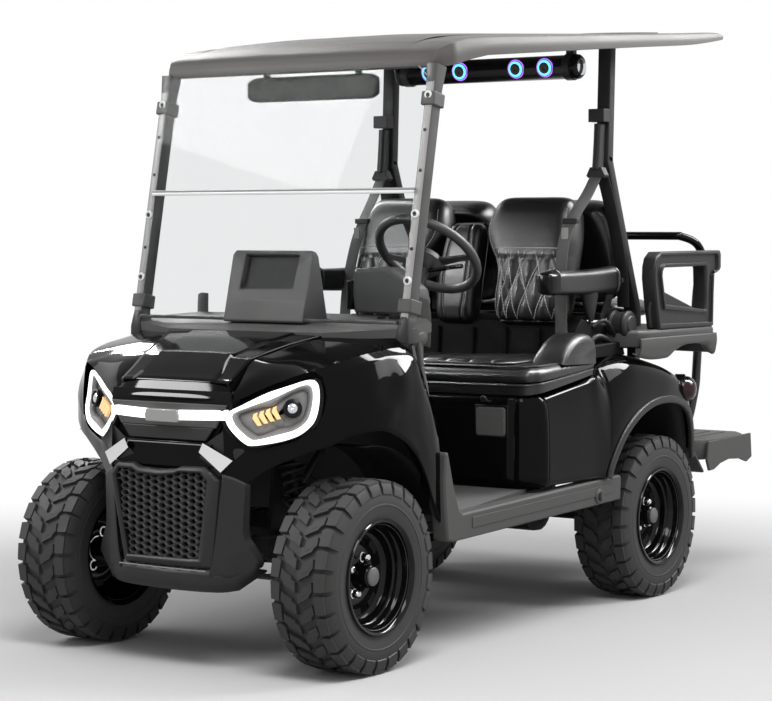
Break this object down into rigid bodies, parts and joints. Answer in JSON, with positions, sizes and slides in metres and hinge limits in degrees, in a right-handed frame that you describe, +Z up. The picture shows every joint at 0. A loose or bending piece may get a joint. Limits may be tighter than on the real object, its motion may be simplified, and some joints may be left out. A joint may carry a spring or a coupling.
{
  "type": "golf cart",
  "caption": "Lifted four-seat electric golf cart with a folding windshield, long roof, rear-facing seat and all-terrain wheels.",
  "frame": {"origin": "centre of the footprint on the ground", "axes": "-Y is the front, +X the driver's left side, +Z up"},
  "size_m": [1.2, 2.7294, 1.966],
  "materials": {
    "black_steel": "satin black powder coat",
    "cast_black": "rough black casting",
    "black_mat": "ribbed rubber mat",
    "gloss_black_panel": "gloss black moulding",
    "gloss_black_plastic": "gloss black",
    "dark_satin_plastic": "dark satin moulded plastic",
    "grey_textured_plastic": "fine-textured grey plastic",
    "roof_plastic": "warm grey moulded plastic",
    "lamp_white": "white lit lamp ring",
    "lamp_red": "dark red lens",
    "clear_acrylic": "clear acrylic pane",
    "black_vinyl": "black marine vinyl",
    "belt_webbing": "woven black webbing",
    "grip_rubber": "soft black grip",
    "tyre": "all-terrain tread",
    "gloss_black_rim": "gloss black painted steel"
  },
  "bodies": {
    "chassis": {"battery_block": "gloss_black_plastic", "belts": "belt_webbing", "chassis_frame": "black_steel", "coilovers": "black_steel", "dash_console": "grey_textured_plastic", "dash_cowl": "grey_textured_plastic", "floor_pan": "black_mat", "footplate": "grey_textured_plastic", "footplate_supports": "black_steel", "front_body": "gloss_black_panel", "front_bumper": "dark_satin_plastic", "front_lamps": "lamp_white", "front_pillars": "black_steel", "front_seatbacks": "black_vinyl", "front_suspension": "black_steel", "grab_rail": "black_steel", "grille": "dark_satin_plastic", "hood": "gloss_black_panel", "mirror": "gloss_black_plastic", "monitor_pod": "grey_textured_plastic", "pedals": "grip_rubber", "rear_armrests": "dark_satin_plastic", "rear_axle": "cast_black", "rear_body": "gloss_black_panel", "rear_seatbacks": "black_vinyl", "rear_struts": "black_steel", "rear_tray": "grey_textured_plastic", "rockers": "grey_textured_plastic", "roof": "roof_plastic", "seat_frame": "black_steel", "sound_bar": "gloss_black_plastic", "steering_column": "black_steel", "tail_lamps": "lamp_red", "windshield_lower": "clear_acrylic", "windshield_upper": "clear_acrylic"},
    "wheel_front_left": {"tyre_front_left": "tyre", "rim_front_left": "gloss_black_rim"},
    "wheel_front_right": {"tyre_front_right": "tyre", "rim_front_right": "gloss_black_rim"},
    "wheel_rear_left": {"tyre_rear_left": "tyre", "rim_rear_left": "gloss_black_rim"},
    "wheel_rear_right": {"tyre_rear_right": "tyre", "rim_rear_right": "gloss_black_rim"},
    "knuckle_left": {"knuckle_left": "cast_black"},
    "knuckle_right": {"knuckle_right": "cast_black"},
    "tie_rod": {"tie_rod": "black_steel"},
    "steering_wheel": {"steering_wheel": "grip_rubber"},
    "front_seat_bottom": {"front_seat_bottom": "black_vinyl"},
    "rear_seat_bottom": {"rear_seat_bottom": "black_vinyl"},
    "charge_door": {"charge_door": "grey_textured_plastic"},
    "armrest_left": {"armrest_left": "black_vinyl"},
    "armrest_right": {"armrest_right": "black_vinyl"}
  },
  "joints": [
    {"name": "wheel_front_left_spin", "type": "hinge", "parent": "knuckle_left", "child": "wheel_front_left", "pos_m": [0.479, -1.0805, 0.2794], "axis": [1, 0, 0], "continuous": true},
    {"name": "wheel_front_right_spin", "type": "hinge", "parent": "knuckle_right", "child": "wheel_front_right", "pos_m": [-0.479, -1.0805, 0.2794], "axis": [1, 0, 0], "continuous": true},
    {"name": "wheel_rear_left_spin", "type": "hinge", "parent": "chassis", "child": "wheel_rear_left", "pos_m": [0.479, 0.6195, 0.2794], "axis": [1, 0, 0], "continuous": true},
    {"name": "wheel_rear_right_spin", "type": "hinge", "parent": "chassis", "child": "wheel_rear_right", "pos_m": [-0.479, 0.6195, 0.2794], "axis": [1, 0, 0], "continuous": true},
    {"name": "steer_left", "type": "hinge", "parent": "chassis", "child": "knuckle_left", "pos_m": [0.402, -1.0805, 0.2794], "axis": [0, 0, 1], "range_deg": [-27, 27]},
    {"name": "steer_right", "type": "hinge", "parent": "chassis", "child": "knuckle_right", "pos_m": [-0.402, -1.0805, 0.2794], "axis": [0, 0, 1], "range_deg": [-27, 27]},
    {"name": "tie_rod_end", "type": "hinge", "parent": "knuckle_left", "child": "tie_rod", "pos_m": [0.402, -1.1855, 0.2673], "axis": [0, 0, 1], "range_deg": [-27, 27]},
    {"name": "steering_wheel_turn", "type": "hinge", "parent": "chassis", "child": "steering_wheel", "pos_m": [0.283, -0.3785, 1.19], "axis": [0, 0.6612, 0.7502], "range_deg": [-405, 405]},
    {"name": "front_seat_lift", "type": "hinge", "parent": "chassis", "child": "front_seat_bottom", "pos_m": [0, 0.1555, 0.797], "axis": [1, 0, 0], "range_deg": [-60, 0]},
    {"name": "rear_seat_lift", "type": "hinge", "parent": "chassis", "child": "rear_seat_bottom", "pos_m": [0, 0.9695, 0.93], "axis": [1, 0, 0], "range_deg": [-60, 0]},
    {"name": "charge_door_open", "type": "hinge", "parent": "chassis", "child": "charge_door", "pos_m": [0.42, -0.2365, 0.707], "axis": [1, 0, 0], "range_deg": [-110, 0]},
    {"name": "armrest_left_flip", "type": "hinge", "parent": "chassis", "child": "armrest_left", "pos_m": [0.485, 0.4755, 1.094], "axis": [1, 0, 0], "range_deg": [-80, 0]},
    {"name": "armrest_right_flip", "type": "hinge", "parent": "chassis", "child": "armrest_right", "pos_m": [-0.485, 0.4755, 1.094], "axis": [1, 0, 0], "range_deg": [-80, 0]}
  ],
  "couplings": [
    {"joint": "steer_right", "follows": "steer_left", "ratio": 1},
    {"joint": "tie_rod_end", "follows": "steer_left", "ratio": -1},
    {"joint": "steering_wheel_turn", "follows": "steer_left", "ratio": 15}
  ]
}
